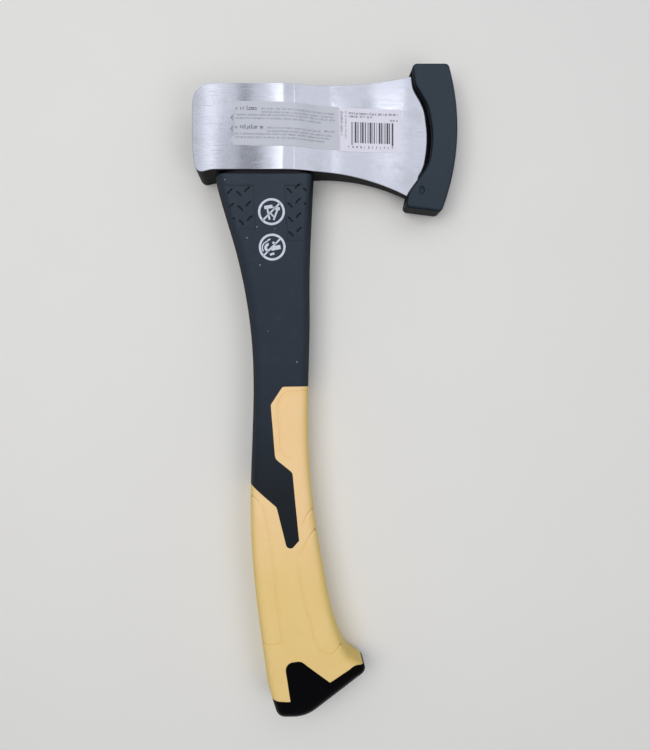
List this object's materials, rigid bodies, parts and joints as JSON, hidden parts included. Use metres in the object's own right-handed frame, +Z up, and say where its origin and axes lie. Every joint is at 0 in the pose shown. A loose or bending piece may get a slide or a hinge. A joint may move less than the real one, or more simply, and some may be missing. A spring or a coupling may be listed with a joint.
{
  "type": "camp hatchet",
  "caption": "Camp hatchet with a ground steel head, an overmoulded fibreglass handle, a soft grip and a pull-off plastic blade guard.",
  "frame": {"origin": "on the lower cheek, the plane the hatchet lies on, under the centre of the eye", "axes": "+X from the poll to the cutting edge, +Y along the handle towards the head, +Z up, square to the cheeks"},
  "size_m": [0.1474, 0.3641, 0.0261],
  "materials": {
    "ground_steel": "cheeks ground along the head, top, underside and poll painted black",
    "fibreglass": "pultruded, satin",
    "cast_resin": "cast, glossy",
    "foam_rubber": "matt foam",
    "jacket_plastic": "fine moulded texture, satin",
    "grip_elastomer": "soft satin elastomer",
    "guard_plastic": "fine spark-eroded texture",
    "clear_film": "glossy clear film with grey print",
    "white_film": "coated white label, semi-gloss"
  },
  "bodies": {
    "hatchet": {"axe_head": "ground_steel", "fibreglass_core": "fibreglass", "eye_epoxy": "cast_resin", "eye_seal": "foam_rubber", "handle_jacket": "jacket_plastic", "grip_overmould": "grip_elastomer", "care_label": "clear_film", "code_label": "white_film"},
    "guard": {"blade_guard": "guard_plastic"}
  },
  "joints": [
    {"name": "guard_pull_off", "type": "slide", "parent": "hatchet", "child": "guard", "axis": [1, 0, 0], "range_m": [0, 0.05]}
  ]
}
